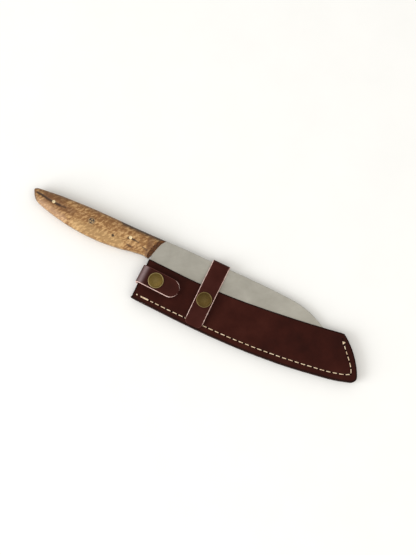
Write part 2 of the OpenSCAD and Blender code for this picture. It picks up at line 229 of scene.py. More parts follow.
class Paint:
    """One material's nodes. Values may be numbers, colours or other nodes' sockets."""

    def __init__(self, name, **shader):
        self.material = bpy.data.materials.new(name)
        self.material.use_nodes = True
        self.tree = self.material.node_tree
        self.shader = self.tree.nodes["Principled BSDF"]
        self.set(**shader)

    def put(self, socket, value):
        if isinstance(value, bpy.types.NodeSocket):
            self.tree.links.new(value, socket)
        else:
            socket.default_value = value

    def set(self, **values):
        for key, value in values.items():
            self.put(self.shader.inputs[key.replace("_", " ")], value)

    def add(self, kind, out=0, sockets=None, **props):
        node = self.tree.nodes.new("ShaderNode" + kind)
        for key, value in props.items():
            setattr(node, key, value)
        for key, value in (sockets or {}).items():
            self.put(node.inputs[key], value)
        return node.outputs[out]

    def place(self, scale, uv=False, spin=0.0):
        """Coordinates in millimetres, turned by spin and then times scale along each axis."""
        source = self.add("TexCoord", "UV" if uv else "Object")
        unit = 1.0 if uv else 1000.0
        size = [1 / (unit * s) for s in scale]
        return self.add("Mapping", sockets={"Vector": source, "Scale": size, "Rotation": (0, 0, spin)},
                        vector_type="TEXTURE")

    def noise(self, at, scale=1.0, detail=4.0, rough=0.55, warp=0.0, out="Fac"):
        return self.add("TexNoise", out, {"Vector": at, "Scale": scale, "Detail": detail,
                                          "Roughness": rough, "Distortion": warp})

    def maths(self, operation, a, b):
        return self.add("Math", sockets={0: a, 1: b}, operation=operation)

    def ramp(self, value, *stops):
        """stops are (position, colour or grey)."""
        socket = self.add("ValToRGB", sockets={"Fac": value})
        band = socket.node.color_ramp
        while len(band.elements) < len(stops):
            band.elements.new(0.5)
        for element, (position, colour) in zip(band.elements, stops):
            element.position = position
            element.color = colour if isinstance(colour, tuple) else (colour, colour, colour, 1)
        return socket

    def mix(self, share, a, b):
        node = self.tree.nodes.new("ShaderNodeMix")
        node.data_type = "RGBA"
        self.put(node.inputs[0], share)
        self.put(node.inputs[6], a)
        self.put(node.inputs[7], b)
        return node.outputs[2]

    def bump(self, height, depth_mm, strength=1.0, over=None):
        sockets = {"Height": height, "Distance": depth_mm / 1000, "Strength": strength}
        if over is not None:
            sockets["Normal"] = over
        return self.add("Bump", sockets=sockets)

    def attribute(self, name):
        return self.add("Attribute", "Fac", attribute_name=name)

    def near_line(self, a, b, width, warp=0.6):
        """1 on the stretch from a to b (knife's axes), falling to 0 at width, with a ragged edge."""
        solid = self.place((1, 1, 1))
        at = self.add("VectorMath", sockets={0: solid, 1: (1, 1, 0)}, operation="MULTIPLY")
        wander = self.noise(at, 0.45, 3, out="Color")
        shift = self.add("VectorMath", sockets={0: wander, 1: (0.5, 0.5, 0.5)}, operation="SUBTRACT")
        shift = self.add("VectorMath", sockets={0: shift, "Scale": 2 * warp}, operation="SCALE")
        flat = self.add("VectorMath", sockets={0: shift, 1: (1, 1, 0)}, operation="MULTIPLY")
        p = self.add("VectorMath", sockets={0: at, 1: flat}, operation="ADD")
        start, end = (Vector(to_row([(*point, 0)])[0] * 1000) for point in (a, b))
        start.z = end.z = 0
        way = end - start
        length = max(way.length, 1e-3)
        away = self.add("VectorMath", sockets={0: p, 1: tuple(start)}, operation="SUBTRACT")
        along = self.add("VectorMath", "Value", {0: away, 1: tuple(way / length ** 2)},
                         operation="DOT_PRODUCT")
        along = self.maths("MINIMUM", self.maths("MAXIMUM", along, 0.0), 1.0)
        foot = self.add("VectorMath", sockets={0: tuple(way), "Scale": along}, operation="SCALE")
        gap = self.add("VectorMath", "Value", {0: away, 1: foot}, operation="DISTANCE")
        return self.ramp(self.maths("DIVIDE", gap, width), (0.35, 1.0), (1.0, 0.0))


# ---------- materials
def leather(name, base, dark, light, uv=False, rim_dark=None, rough=(0.42, 0.6), gloss_and_painted_highlight=False):
    """Smooth vegetable-tanned leather: cloudy dye, pores, fine creases, darker burnished rim."""
    m = Paint(name, Specular_IOR_Level=0.06, IOR=1.45)
    at = m.place((1, 1, 1), uv)
    cloud = m.noise(at, 0.045, 5, 0.6)
    speck = m.noise(at, 0.9, 3, 0.6)
    colour = m.ramp(cloud, (0.32, dark), (0.52, base), (0.72, light))
    colour = m.mix(m.maths("MULTIPLY", speck, 0.35), colour, dark)
    if rim_dark is not None:
        edge = m.ramp(m.attribute("rim"), (0.2, 0.0), (0.6, 1.0))
        colour = m.mix(edge, colour, rim_dark)
    pores = m.add("TexVoronoi", "Distance", {"Vector": at, "Scale": 1.9, "Randomness": 1.0})
    creases = m.noise(m.place((0.5, 1.3, 1), uv, spin=0.5), 0.8, 6, 0.65, 0.8)
    normal = m.bump(pores, 0.05, 0.35)
    normal = m.bump(creases, 0.12, 0.35, normal)
    normal = m.bump(m.noise(at, 0.09, 2), 0.5, 0.25, normal)
    # on a bend: a glossy coat, and a painted highlight that lightens the colour towards pale pink
    if gloss_and_painted_highlight:
        bend_gloss_and_painted_highlight = m.maths("MULTIPLY", m.attribute("gloss_and_painted_highlight"), m.ramp(creases, (0.3, 0.75), (0.7, 1.0)))
        colour = m.mix(m.maths("MULTIPLY", bend_gloss_and_painted_highlight, 0.5), colour, srgb(168, 146, 148))
        m.set(Coat_Weight=m.maths("MULTIPLY", bend_gloss_and_painted_highlight, 0.6), Coat_Roughness=0.35)
    m.set(Base_Color=colour, Normal=normal)
    m.set(Roughness=m.ramp(m.noise(at, 0.3, 4), (0.3, rough[0]), (0.75, rough[1])))
    return m.material


def raw_edge(name, light, dark, uv=False, darker_edge=None):
    """A cut leather edge: fibres in thin layers, with patches of darker dye, and wholly darkened where rim
    says; on the heel strap that darkening is painted shade along its upper side.
    """
    m = Paint(name, Specular_IOR_Level=0.15)
    fibres = m.noise(m.place((0.35, 0.35, 3), uv), 1.4, 5, 0.7)
    patches = m.noise(m.place((1, 1, 1), uv), 0.25, 3)
    colour = m.ramp(fibres, (0.3, dark), (0.6, light))
    colour = m.mix(m.ramp(patches, (0.5, 0.0), (0.75, 0.5)), colour, dark)
    if darker_edge is not None:
        colour = m.mix(m.attribute("rim"), colour, darker_edge)
    m.set(Base_Color=colour, Roughness=0.8, Normal=m.bump(fibres, 0.15, 0.6))
    return m.material


def flesh_side(name):
    """The rough inside of the leather."""
    m = Paint(name, Specular_IOR_Level=0.1)
    nap = m.noise(m.place((1, 1, 1), uv=True), 2.2, 6, 0.75)
    colour = m.ramp(nap, (0.3, srgb(84, 52, 42)), (0.7, srgb(128, 88, 72)))
    m.set(Base_Color=colour, Roughness=0.95, Normal=m.bump(nap, 0.2, 0.7), Sheen_Weight=0.3)
    return m.material


def thread_paint():
    m = Paint("waxed_thread", Specular_IOR_Level=0.3, Sheen_Weight=0.15)
    at = m.place((1, 1, 1))
    dirt = m.noise(at, 0.35, 4)
    colour = m.ramp(dirt, (0.3, srgb(190, 160, 126)), (0.5, srgb(230, 208, 176)),
                    (0.75, srgb(248, 234, 210)))
    m.set(Base_Color=colour, Roughness=0.6, Normal=m.bump(m.noise(at, 6, 3, 0.7), 0.05, 0.5))
    return m.material


def steel_paint():
    """Satin steel: fine grinding marks along the blade, faint smears and a slightly cloudy finish."""
    m = Paint("satin_steel", Metallic=1.0)
    lines = m.noise(m.place((0.02, 3.2, 1)), 1.6, 3, 0.6)
    fine = m.noise(m.place((0.05, 9, 2)), 2.0, 2, 0.5)
    cloud = m.noise(m.place((1, 1, 1)), 0.035, 5, 0.6, 0.4)
    smear = m.noise(m.place((0.35, 1, 1), spin=0.6), 0.11, 6, 0.65, 1.2)
    colour = m.ramp(cloud, (0.3, srgb(147, 144, 136)), (0.7, srgb(171, 168, 160)))
    colour = m.mix(m.ramp(smear, (0.45, 0.0), (0.75, 0.35)), colour, srgb(142, 138, 127))
    colour = m.mix(m.maths("MULTIPLY", lines, 0.25), colour, srgb(196, 193, 184))
    rough = m.maths("ADD", m.maths("MULTIPLY", fine, 0.12), m.maths("MULTIPLY", smear, 0.16))
    rough = m.maths("ADD", rough, 0.27)
    normal = m.bump(lines, 0.006, 0.5)
    normal = m.bump(fine, 0.003, 0.5, normal)
    m.set(Base_Color=colour, Roughness=rough, Normal=normal)
    return m.material


# Cracks and dark streaks in the wood: from, to, width, how dark
CRACKS = [((-119, -4), (-110, -5.4), 1.5, 0.9), ((-109, -6), (-103.8, -6.5), 1.3, 0.85),
          ((-100.6, -6.9), (-96, -7.3), 1.4, 0.9), ((-95, -7.4), (-90, -7.2), 1.1, 0.6),
          ((-24.3, -10), (-21.5, -10.4), 1.1, 0.9), ((-21, -10.4), (-17.5, -11), 0.8, 0.7),
          ((-27.5, -10.8), (-26.6, -10.9), 1.0, 0.7), ((-26, -16.5), (-22, -17), 0.9, 0.6),
          ((-41.2, -14), (-40.8, -14.2), 1.5, 1.0), ((-12, -13.5), (-8, -14.4), 1.0, 0.6)]


def wood_paint():
    """Oiled spalted hardwood: curl slanting across long grain, cracks and pores, with painted shade along
    the top edge and a painted highlight low in the middle.
    """
    m = Paint("spalted_wood", Specular_IOR_Level=0.3, Coat_Weight=0.08, Coat_Roughness=0.4)
    grain = m.noise(m.place((0.05, 0.42, 0.4), spin=0.04), 1.0, 5, 0.6, 0.6)
    curl = m.noise(m.place((0.2, 0.62, 0.4), spin=0.62), 1.0, 4, 0.6, 0.9)
    fleck = m.noise(m.place((0.42, 1.15, 0.8), spin=0.75), 1.0, 4, 0.65, 0.5)
    blotch = m.noise(m.place((0.05, 0.12, 0.1)), 1.0, 4, 0.55, 0.7)
    figure = m.noise(m.place((0.24, 0.52, 0.4), spin=0.8), 1.0, 2, 0.5, 0.4)
    pores = m.noise(m.place((0.5, 3.6, 3.6), spin=0.1), 1.0, 3, 0.7)
    colour = m.ramp(grain, (0.3, srgb(134, 94, 52)), (0.45, srgb(158, 115, 68)),
                    (0.58, srgb(178, 135, 84)), (0.72, srgb(196, 155, 104)))
    # pattern, its two stops and the colour of each layer of the figure
    for pattern, low, high, layer in (
            (curl, (0.46, 0.0), (0.62, 0.6), srgb(128, 86, 44)),
            (curl, (0.3, 0.6), (0.46, 0.0), srgb(206, 168, 118)),
            (fleck, (0.5, 0.0), (0.64, 0.75), srgb(112, 73, 37)),
            (fleck, (0.3, 0.6), (0.42, 0.0), srgb(214, 178, 130)),
            (figure, (0.5, 0.0), (0.6, 0.62), srgb(118, 78, 38)),
            (figure, (0.38, 0.55), (0.47, 0.0), srgb(214, 174, 122)),
            (blotch, (0.54, 0.0), (0.72, 0.6), srgb(118, 76, 42)),
            (pores, (0.56, 0.0), (0.72, 0.5), srgb(92, 60, 33))):
        colour = m.mix(m.ramp(pattern, low, high), colour, layer)
    # from, to, width, ragged, share, colour of broad marks; rows without a note are stains
    for a, b, width, ragged, share, stain_and_painted_light in (
            # painted highlight low in the middle, where the rounded side faces the light
            ((-76, -18), (-34, -18), 7.0, 2.5, 0.3, srgb(206, 172, 118)),
            # darker over the butt's upper half
            ((-124, 2), (-96, 1.4), 8.0, 1.5, 0.5, srgb(82, 54, 34)),
            # darker round the butt's lower corner
            ((-125, -3), (-119, -11), 3.6, 0.8, 0.62, srgb(66, 44, 32)),
            ((-108, -6), (-84, -8), 5.0, 2.2, 0.5, srgb(92, 54, 32)),
            ((-112, -12.5), (-90, -18), 6.0, 1.5, 0.3, srgb(206, 168, 138)),
            # faintly darker over the upper half
            ((-100, -1.5), (-30, -2.5), 7.5, 2.5, 0.16, srgb(116, 76, 40)),
            # painted shade along the top edge, where the rounded side turns from the light
            ((-112, 3.4), (6, 1.8), 4.0, 1.2, 0.5, srgb(78, 52, 28)),
            # deeper painted shade along the top edge towards the front
            ((-36, 1.2), (6, 0), 4.2, 0.8, 0.9, srgb(48, 30, 18)),
            # darker just behind the sloped front
            ((-8, 0), (-5, -20), 3.8, 1.8, 0.6, srgb(92, 56, 32)),
            # dark ring round the mosaic pin
            ((-63.85, -9.3), (-63.75, -9.3), 4.6, 0.3, 0.85, srgb(84, 56, 34))):
        colour = m.mix(m.maths("MULTIPLY", m.near_line(a, b, width, ragged), share), colour, stain_and_painted_light)
    dark = srgb(46, 28, 17)
    depth = None
    for a, b, width, share in CRACKS:
        crack = m.maths("MULTIPLY", m.near_line(a, b, width), share)
        colour = m.mix(crack, colour, dark)
        depth = crack if depth is None else m.maths("MAXIMUM", depth, crack)
    normal = m.bump(m.maths("SUBTRACT", 1.0, depth), 0.5, 0.8)
    normal = m.bump(pores, 0.06, 0.4, normal)
    normal = m.bump(fleck, 0.15, 0.3, normal)
    m.set(Base_Color=colour, Normal=normal, Roughness=m.ramp(grain, (0.3, 0.55), (0.7, 0.42)))
    return m.material


def bevel_paint():
    """The stained slope at the front of the scales."""
    m = Paint("stained_end_grain", Specular_IOR_Level=0.3)
    rings = m.noise(m.place((1, 1, 1)), 0.7, 5, 0.7)
    colour = m.ramp(rings, (0.36, srgb(44, 25, 15)), (0.52, srgb(94, 57, 32)), (0.66, srgb(150, 98, 54)))
    m.set(Base_Color=colour, Roughness=0.55, Normal=m.bump(rings, 0.15, 0.5))
    return m.material


def metal_paint(name, bright, dull, rough, rim=None):
    """Brass with cloudy patina; where a rim colour is given, it is a painted highlight laid on where the
    rim attribute says, so the hollows between stay duller.
    """
    m = Paint(name, Metallic=1.0)
    at = m.place((1, 1, 1))
    patina = m.noise(at, 0.7, 6, 0.7)
    fine = m.noise(m.place((1.2, 9, 3), spin=0.7), 1.0, 3, 0.6)
    colour = m.ramp(patina, (0.3, dull), (0.72, bright))
    if rim is not None:
        colour = m.mix(m.attribute("rim"), colour, rim)
    colour = m.mix(m.maths("MULTIPLY", fine, 0.25), colour, bright)
    m.set(Base_Color=colour, Normal=m.bump(fine, 0.01, 0.5))
    m.set(Roughness=m.ramp(patina, (0.25, rough + 0.14), (0.75, rough)))
    return m.material


def resin_paint():
    m = Paint("mosaic_resin", Coat_Weight=0.3, Coat_Roughness=0.2)
    flecks = m.noise(m.place((1, 1, 1)), 3.0, 4, 0.7)
    m.set(Base_Color=m.ramp(flecks, (0.4, srgb(36, 27, 20)), (0.8, srgb(78, 58, 40))), Roughness=0.4)
    return m.material


def hole_shade_paint():
    # painted shade: near-black for the shade inside the stitch holes
    m = Paint("painted_hole_shade", Specular_IOR_Level=0.05)
    pits = m.noise(m.place((1, 1, 1)), 2.0, 3)
    m.set(Base_Color=m.ramp(pits, (0.3, srgb(14, 6, 5)), (0.8, srgb(30, 13, 10))), Roughness=0.9)
    return m.material


PANEL_LEATHER = leather("panel_leather", srgb(52, 19, 13), srgb(41, 14, 9), srgb(62, 26, 19),
                        rim_dark=srgb(24, 9, 6))
PANEL_EDGE = raw_edge("panel_edge", srgb(60, 30, 23), srgb(28, 12, 9))
WELT_EDGE = raw_edge("welt_edge", srgb(50, 24, 18), srgb(22, 9, 7))
BLADE_STRAP_LEATHER = leather("blade_strap_leather", srgb(60, 26, 21), srgb(50, 20, 15),
                              srgb(72, 36, 31), uv=True)
# heel strap leather, with a glossy coat and a painted highlight on its front bend
HEEL_STRAP_LEATHER = leather("heel_strap_leather", srgb(56, 23, 18), srgb(45, 18, 13),
                             srgb(66, 30, 24), uv=True, rough=(0.34, 0.5), gloss_and_painted_highlight=True)
# its last colour darkens the cut edge where rim says: painted shade along the heel strap's upper side, and
# a darker free end on the blade strap
STRAP_EDGE = raw_edge("strap_edge", srgb(236, 208, 200), srgb(166, 122, 112), uv=True,
                      darker_edge=srgb(88, 50, 44))
FLESH = flesh_side("flesh_side")
THREAD = thread_paint()
STEEL = steel_paint()
WOOD = wood_paint()
BEVEL = bevel_paint()
# the rim colour is the painted highlight on each cap's rolled rim and dome
CAP = metal_paint("cap_brass", srgb(114, 95, 50), srgb(86, 69, 33), 0.36, rim=srgb(150, 132, 90))
DULL_CAP = metal_paint("dull_cap_brass", srgb(93, 75, 40), srgb(68, 52, 25), 0.38, rim=srgb(126, 108, 70))
SNAP = metal_paint("snap_brass", srgb(122, 100, 60), srgb(84, 66, 36), 0.34)
PIN = metal_paint("pin_brass", srgb(255, 240, 202), srgb(228, 200, 150), 0.3)
MOSAIC = metal_paint("mosaic_metal", srgb(212, 180, 136), srgb(168, 136, 96), 0.35)
RESIN = resin_paint()
HOLE_SHADE = hole_shade_paint()

# ---------- handle
# Rows from butt to front: x, top edge, bottom edge, half of the handle's thickness
HANDLE = [(-123.3, -1.6, -2.6, 2.2), (-122.3, -0.6, -4.6, 3.5), (-120.5, 0.1, -8, 4.6),
          (-117, 0.5, -11.2, 5.5), (-110, 1, -14, 6.3), (-98, 1.8, -17.4, 6.9),
          (-84, 2.1, -20.4, 7.3), (-70, 2.2, -22.3, 7.46), (-60, 2, -23, 7.5),
          (-48, 1.7, -23.2, 7.45), (-32, 1.1, -22.1, 7.2), (-20, 0.7, -20.4, 6.9),
          (-9, 0.5, -19.4, 6.6)]
FRONT_FOOT = [(5, 0.3), (1.6, -4), (-0.4, -10), (-2.4, -16), (-4, -20.4)]
FRONT_HALF = 6.5
SCALE_BEVEL = 4
SCALE_ROUND = 2.5
CROWN_STEPS = 44
PIN_R = 1.5
TUBE_R, TUBE_IN_R = 3.1, 2.75
ROD_R, ROD_IN_R, ROD_RING_R = 0.85, 0.35, 1.35
PIN_REAR, PIN_FRONT, MOSAIC_AT = (-102.2, -6.4), (-25.7, -9.6), (-63.8, -9.3)
handle_rows = curve(HANDLE, 12)


def across(top, bottom, half):
    """Heights and half thicknesses over the crowned side of a scale, from top to bottom edge."""
    a = np.linspace(0, np.pi, CROWN_STEPS + 1)
    c, s = np.cos(a), np.abs(np.sin(a))
    y = (top + bottom) / 2 + (top - bottom) / 2 * np.sign(c) * np.abs(c) ** (2 / SCALE_ROUND)
    return y, HALF_STEEL + (half - HALF_STEEL) * s ** (2 / SCALE_ROUND)


def scale_ring(x_of, top, bottom, half, side):
    """A ring over the scale's crowned side and back along its flat one; x_of(y, z) gives x."""
    y, z = across(top, bottom, half)
    flat_y = np.linspace(bottom, top, 8)[1:-1]
    y = np.concatenate([y, flat_y])
    z = np.concatenate([z, np.full(len(flat_y), HALF_STEEL)])
    return np.column_stack([x_of(y, z), y, side * z])


def foot_x(y):
    foot = np.array(FRONT_FOOT)
    return np.interp(-np.asarray(y), -foot[:, 1], foot[:, 0])


def wood_z(x, y):
    top, bottom, half = (np.interp(x, handle_rows[:, 0], handle_rows[:, k]) for k in (1, 2, 3))
    c = np.clip(np.abs(2 * np.asarray(y) - top - bottom) / (top - bottom), 0, 1)
    return HALF_STEEL + (half - HALF_STEEL) * (1 - c ** SCALE_ROUND) ** (1 / SCALE_ROUND)


def scale_piece(side):
    rings = [scale_ring(lambda y, z: np.full_like(y, x), top, bottom, half, side)
             for x, top, bottom, half in handle_rows]

    def slope_x(y, z):
        return foot_x(y) - SCALE_BEVEL * (z - HALF_STEEL) / (FRONT_HALF - HALF_STEEL)

    front = scale_ring(slope_x, FRONT_FOOT[0][1], FRONT_FOOT[-1][1], FRONT_HALF, side)
    last = rings[-1]
    rings += [last + (front - last) * t for t in np.linspace(0, 1, 9)[1:]]
    points, faces = tube(rings)
    # the sloped front is its own fan, from the rim down to the steel
    faces.pop()
    rim = front[:CROWN_STEPS + 1]
    n = len(rim)
    foot = np.column_stack([foot_x(rim[:, 1]), rim[:, 1], np.full(n, side * HALF_STEEL)])
    rows = [rim * (1 - t) + foot * t for t in (0.0, 0.08, 0.5, 1.0)]
    slope_first = len(points)
    points = np.concatenate([points] + rows)
    slope = skin(4, n, wrap=False, first=slope_first)
    if side < 0:
        faces = [f[::-1] for f in faces]
        slope = [f[::-1] for f in slope]
    which = [0] * len(faces) + [1] * len(slope)
    name = "wood_scale_front" if side > 0 else "wood_scale_back"
    return piece(name, points, [f[::-1] for f in faces + slope], [WOOD, BEVEL], which)


def plug(at, outer, inner=0.0, proud=0.05):
    """(points, faces) of both ends of a pin, dressed flush with the wood."""
    parts = []
    radii = np.linspace(inner, outer, 7)
    for side in (-1, 1):
        rings = []
        for a in np.linspace(0, 2 * np.pi, 48, endpoint=False):
            x = at[0] + radii * math.cos(a)
            y = at[1] + radii * math.sin(a)
            z = wood_z(x, y) + proud
            z[-1] -= 0.06
            deep = z.min() - 0.8
            skirt = [(x[-1], y[-1], side * deep), (x[0], y[0], side * deep)]
            rings.append(np.vstack([np.column_stack([x, y, side * z]), skirt]))
        rings.append(rings[0])
        points, faces = tube(rings, caps=False)
        parts.append((points, faces if side > 0 else [f[::-1] for f in faces]))
    return joined(parts)


def pin_pieces():
    """Each pin's piece and the node it stands for."""
    yield piece("brass_pin_rear", *plug(PIN_REAR, PIN_R), [PIN]), "pin_rear"
    yield piece("brass_pin_front", *plug(PIN_FRONT, PIN_R), [PIN]), "pin_front"
    yield piece("mosaic_ring", *plug(MOSAIC_AT, TUBE_R, TUBE_IN_R), [MOSAIC]), "mosaic_tube"
    yield piece("mosaic_fill", *plug(MOSAIC_AT, TUBE_IN_R, proud=0.02), [RESIN]), "mosaic_resin"
    rods = []
    for a in np.radians([90, 210, 330]):
        centre = (MOSAIC_AT[0] + ROD_RING_R * math.cos(a), MOSAIC_AT[1] + ROD_RING_R * math.sin(a))
        rods.append(plug(centre, ROD_R, ROD_IN_R, 0.07))
    yield piece("mosaic_rod_ends", *joined(rods), [MOSAIC]), "mosaic_rods"


# ---------- blade
# Rows from heel to tip: spine x, spine y, edge x, edge y, half of the spine's thickness
BLADE = [(-3, 0.5, -0.5, -46.5, 1.25), (22, 0.3, 22, -47.7, 1.25), (48, -0.7, 48, -48.5, 1.2),
         (75, -1.5, 75, -48.8, 1.1), (100, -2.5, 100, -48.1, 1), (120, -3.8, 120, -46.4, 0.9),
         (135, -5.3, 135, -44.3, 0.8), (147, -8.2, 147, -41.9, 0.7), (157, -12.5, 157.5, -39, 0.6),
         (166, -17.4, 167, -35.5, 0.5), (173, -23, 174, -32.6, 0.35), (178, -30, 178.4, -30.6, 0.2)]
SHOULDER = 0.97


def blade_piece():
    rings = []
    for sx, sy, ex, ey, h in curve(BLADE, 12):
        spine, edge = np.array([sx, sy]), np.array([ex, ey])
        ease = min(0.3, 0.4 * h) / max(np.linalg.norm(edge - spine), 0.5)
        foot = min(0.3, 0.6 * h)
        # share of the way to the edge, half thickness
        half_ring = [(0, h * 0.7), (ease * 0.35, h * 0.92), (ease, h)]
        shares = [1.6 * ease, *np.linspace(0.12, 0.95 * SHOULDER, 7), SHOULDER]
        half_ring += [(t, h + (foot - h) * t / SHOULDER) for t in shares]
        half_ring += [(1, 0.06)]
        ring = [(*(spine + t * (edge - spine)), z) for t, z in half_ring]
        ring += [(x, y, -z) for x, y, z in ring[::-1]]
        rings.append(np.array(ring))
    points, faces = tube(rings)
    blade = points, [f[::-1] for f in faces]
    top = handle_rows[:, :2]
    bottom = handle_rows[::-1][:, [0, 2]]
    outline = np.vstack([top, FRONT_FOOT, bottom])
    low = np.column_stack([outline, np.full(len(outline), -HALF_STEEL)])
    high = np.column_stack([outline, np.full(len(outline), HALF_STEEL)])
    return piece("steel_blade", *joined([blade, tube([low, high])]), [STEEL], smooth_under=14)


# ---------- sheath panels
TOP_EDGE = curve([(-2.8, -20.5), (20, -22), (45, -23.4), (80, -23.5), (110, -22), (140, -19.7),
                  (165, -17.2), (182, -15.2)], 12)
TOE_EDGE = curve([(184.6, -15), (186, -15.8), (190, -19), (195.5, -24.2), (201, -30.8), (206, -38.5),
                  (209.6, -46), (209.8, -49.8), (207, -52.8)], 12)
BOTTOM_EDGE = curve([(203, -54), (190, -57), (170, -59.6), (150, -61.7), (130, -63), (100, -63.8),
                     (60, -63), (20, -60.5), (-2.6, -58.8), (-4.2, -57.4)], 12)
WELT_INNER = curve([(-4, -50.3), (20, -51.6), (45, -52.9), (70, -53.5), (90, -53.8), (115, -53.5),
                    (140, -52.2), (165, -50), (182, -47.6), (192, -44.8), (193.2, -41), (190, -35),
                    (185.5, -28.5), (181.5, -22.5), (178.5, -15.8)], 8)
SEAM = curve([(-1, -54.6), (20, -55.9), (45, -57.2), (70, -57.7), (90, -58.2), (115, -57.8),
              (140, -56.5), (165, -54.3), (185, -52), (198, -49.2), (203, -47.4), (204.2, -45),
              (202.6, -42.4), (198.5, -36.5), (192.5, -29.5), (187.2, -22.8)], 10)
SPARE_HOLE = (185, -19.8)
STITCH_PITCH = 5.8
EDGE_ROUND = 0.6
seam_length = run(SEAM)[-1]
STITCHES = int(seam_length // STITCH_PITCH)
seam_holes = sample(SEAM, seam_length * np.arange(STITCHES + 1) / STITCHES)
outline = np.vstack([TOP_EDGE, TOE_EDGE, BOTTOM_EDGE, TOP_EDGE[:1]])


def nearest(line, point):
    return int(np.argmin(np.linalg.norm(line - np.array(point), axis=1)))


def patch(across_count, along_count):
    """A four-sided net of points over the panel's outline."""
    toe_top, toe_low, heel_low = (nearest(outline, p) for p in ((184.6, -15), (209, -51.4), (-3.6, -58.2)))
    along, up = bunched(along_count), bunched(across_count)

    def stretch(line, shares):
        return sample(line, run(line)[-1] * shares)

    top = stretch(outline[:toe_top + 1], along)
    bottom = stretch(outline[toe_low:heel_low + 1][::-1], along)
    toe = stretch(outline[toe_top:toe_low + 1][::-1], up)
    heel = stretch(outline[heel_low:], up)
    u, v = along[None, :, None], up[:, None, None]
    ruled = (1 - v) * bottom[None] + v * top[None] + (1 - u) * heel[:, None] + u * toe[:, None]
    corners = ((1 - u) * (1 - v) * bottom[0] + u * (1 - v) * bottom[-1]
               + (1 - u) * v * top[0] + u * v * top[-1])
    return ruled - corners


def leather_level(flat):
    """Height of a panel's face: faint waves, a groove and dents under the thread, rounded edges."""
    gap = distance(flat, outline)
    x, y = flat[:, 0], flat[:, 1]
    wave = 0.07 * np.sin(x / 31 + 1.3) * np.cos(y / 17) + 0.05 * np.sin(x / 13 - y / 9)
    fall = EDGE_ROUND - np.sqrt(np.maximum(EDGE_ROUND ** 2 - np.maximum(EDGE_ROUND - gap, 0) ** 2, 0))
    groove = 0.14 * np.exp(-(distance(flat, SEAM) / 0.8) ** 2)
    to_hole = np.min(np.linalg.norm(flat[:, None] - seam_holes[None], axis=2), axis=1)
    dent = 0.06 * np.exp(-(to_hole / 0.9) ** 2)
    pressed = 0.1 * np.exp(-(gap / 1.6) ** 2)
    return PANEL_OUT - 0.1 - fall - groove - dent - pressed + wave * np.minimum(gap / 2, 1)


def panel_piece(side):
    rows, cols = 81, 361
    flat = patch(rows, cols).reshape(-1, 2)
    height = leather_level(flat)
    grid = np.arange(rows * cols).reshape(rows, cols)
    border = np.concatenate([grid[0, :-1], grid[:-1, -1], grid[-1, :0:-1], grid[:0:-1, 0]])
    points = [np.column_stack([flat, height])]
    n = len(border)
    ring = flat[border]
    inward = ring - np.roll(ring, -1, axis=0)
    inward = np.column_stack([-inward[:, 1], inward[:, 0]])
    inward /= np.maximum(np.linalg.norm(inward, axis=1, keepdims=True), 1e-9)
    wobble = np.sin(np.arange(n) * 0.61) * 0.5 + np.sin(np.arange(n) * 0.23 + 1) * 0.5
    # height and inset of the cut edge's rings
    levels = [(PANEL_OUT - 0.95, 0.03), (PANEL_OUT - 1.4, 0.0), (PANEL_OUT - 2.0, 0.02),
              (PANEL_IN + 0.15, 0.05), (PANEL_IN, 0.22)]
    for z, inset in levels:
        ring_z = np.full(n, z)
        points.append(np.column_stack([ring + inward * (inset + 0.02 * wobble)[:, None], ring_z]))
    faces = skin(rows, cols, wrap=False)
    which = [0] * len(faces)
    first = rows * cols
    for k in range(n):
        faces.append((border[k], first + k, first + (k + 1) % n, border[(k + 1) % n]))
    walls = skin(len(levels), n, first=first)
    faces += [f[::-1] for f in walls]
    faces.append(tuple(first + (len(levels) - 1) * n + k for k in range(n))[::-1])
    which += [1] * (n + len(walls) + 1)
    points = np.concatenate(points)
    points[:, 2] *= side
    if side < 0:
        faces = [f[::-1] for f in faces]
    rim = np.exp(-distance(points[:, :2], outline) / 1.1)
    name = "front_panel_leather" if side > 0 else "back_panel_leather"
    return piece(name, points, faces, [PANEL_LEATHER, PANEL_EDGE], which, 50, marks={"rim": rim})


def welt_piece():
    ring = np.vstack([WELT_INNER, TOE_EDGE, BOTTOM_EDGE])
    away = ring - ring.mean(axis=0)
    away /= np.linalg.norm(away, axis=1, keepdims=True)
    rings = []
    for z, inset in ((-PANEL_IN, 0.25), (-1.2, 0.06), (0, 0.0), (1.2, 0.06), (PANEL_IN, 0.25)):
        rings.append(np.column_stack([ring - away * inset, np.full(len(ring), z)]))
    return piece("welt_leather", *tube(rings), [WELT_EDGE], smooth_under=50)


# ---------- thread
PLY_R = 0.23
PLY_RING_R = 0.19
PLY_TWIST = 1.35


def ply_path(a, b, level, side, lift, gap, phase, offset):
    """One ply of a stitch between holes a and b, rising out of one hole and into the next."""
    a, b = np.asarray(a, float), np.asarray(b, float)
    length = np.linalg.norm(b - a)
    way = (b - a) / length
    across_way = np.array([-way[1], way[0]])
    s = np.linspace(gap / 2, length - gap / 2, 26)
    rise = np.minimum(s - s[0], s[-1] - s) / 0.6
    z = lift - 0.95 * (1 - np.clip(rise, 0, 1)) ** 2
    angle = 2 * np.pi * s / PLY_TWIST + phase
    flat = a + s[:, None] * way + (offset + PLY_RING_R * np.cos(angle))[:, None] * across_way
    return np.column_stack([flat, level + side * (z + PLY_RING_R * np.sin(angle))])


def rope(path, r, sides=7):
    """(points, faces) of a round thread along a path."""
    way = ways_along(path)
    one = np.cross(way, (0.0, 0.0, 1.0))
    flat = np.linalg.norm(one, axis=1) < 1e-3
    one[flat] = (1, 0, 0)
    one /= np.linalg.norm(one, axis=1, keepdims=True)
    two = np.cross(one, way)
    a = np.linspace(0, 2 * np.pi, sides, endpoint=False)
    rings = [p + r * (np.cos(a)[:, None] * e + np.sin(a)[:, None] * f) for p, e, f in zip(path, one, two)]
    return tube(rings)


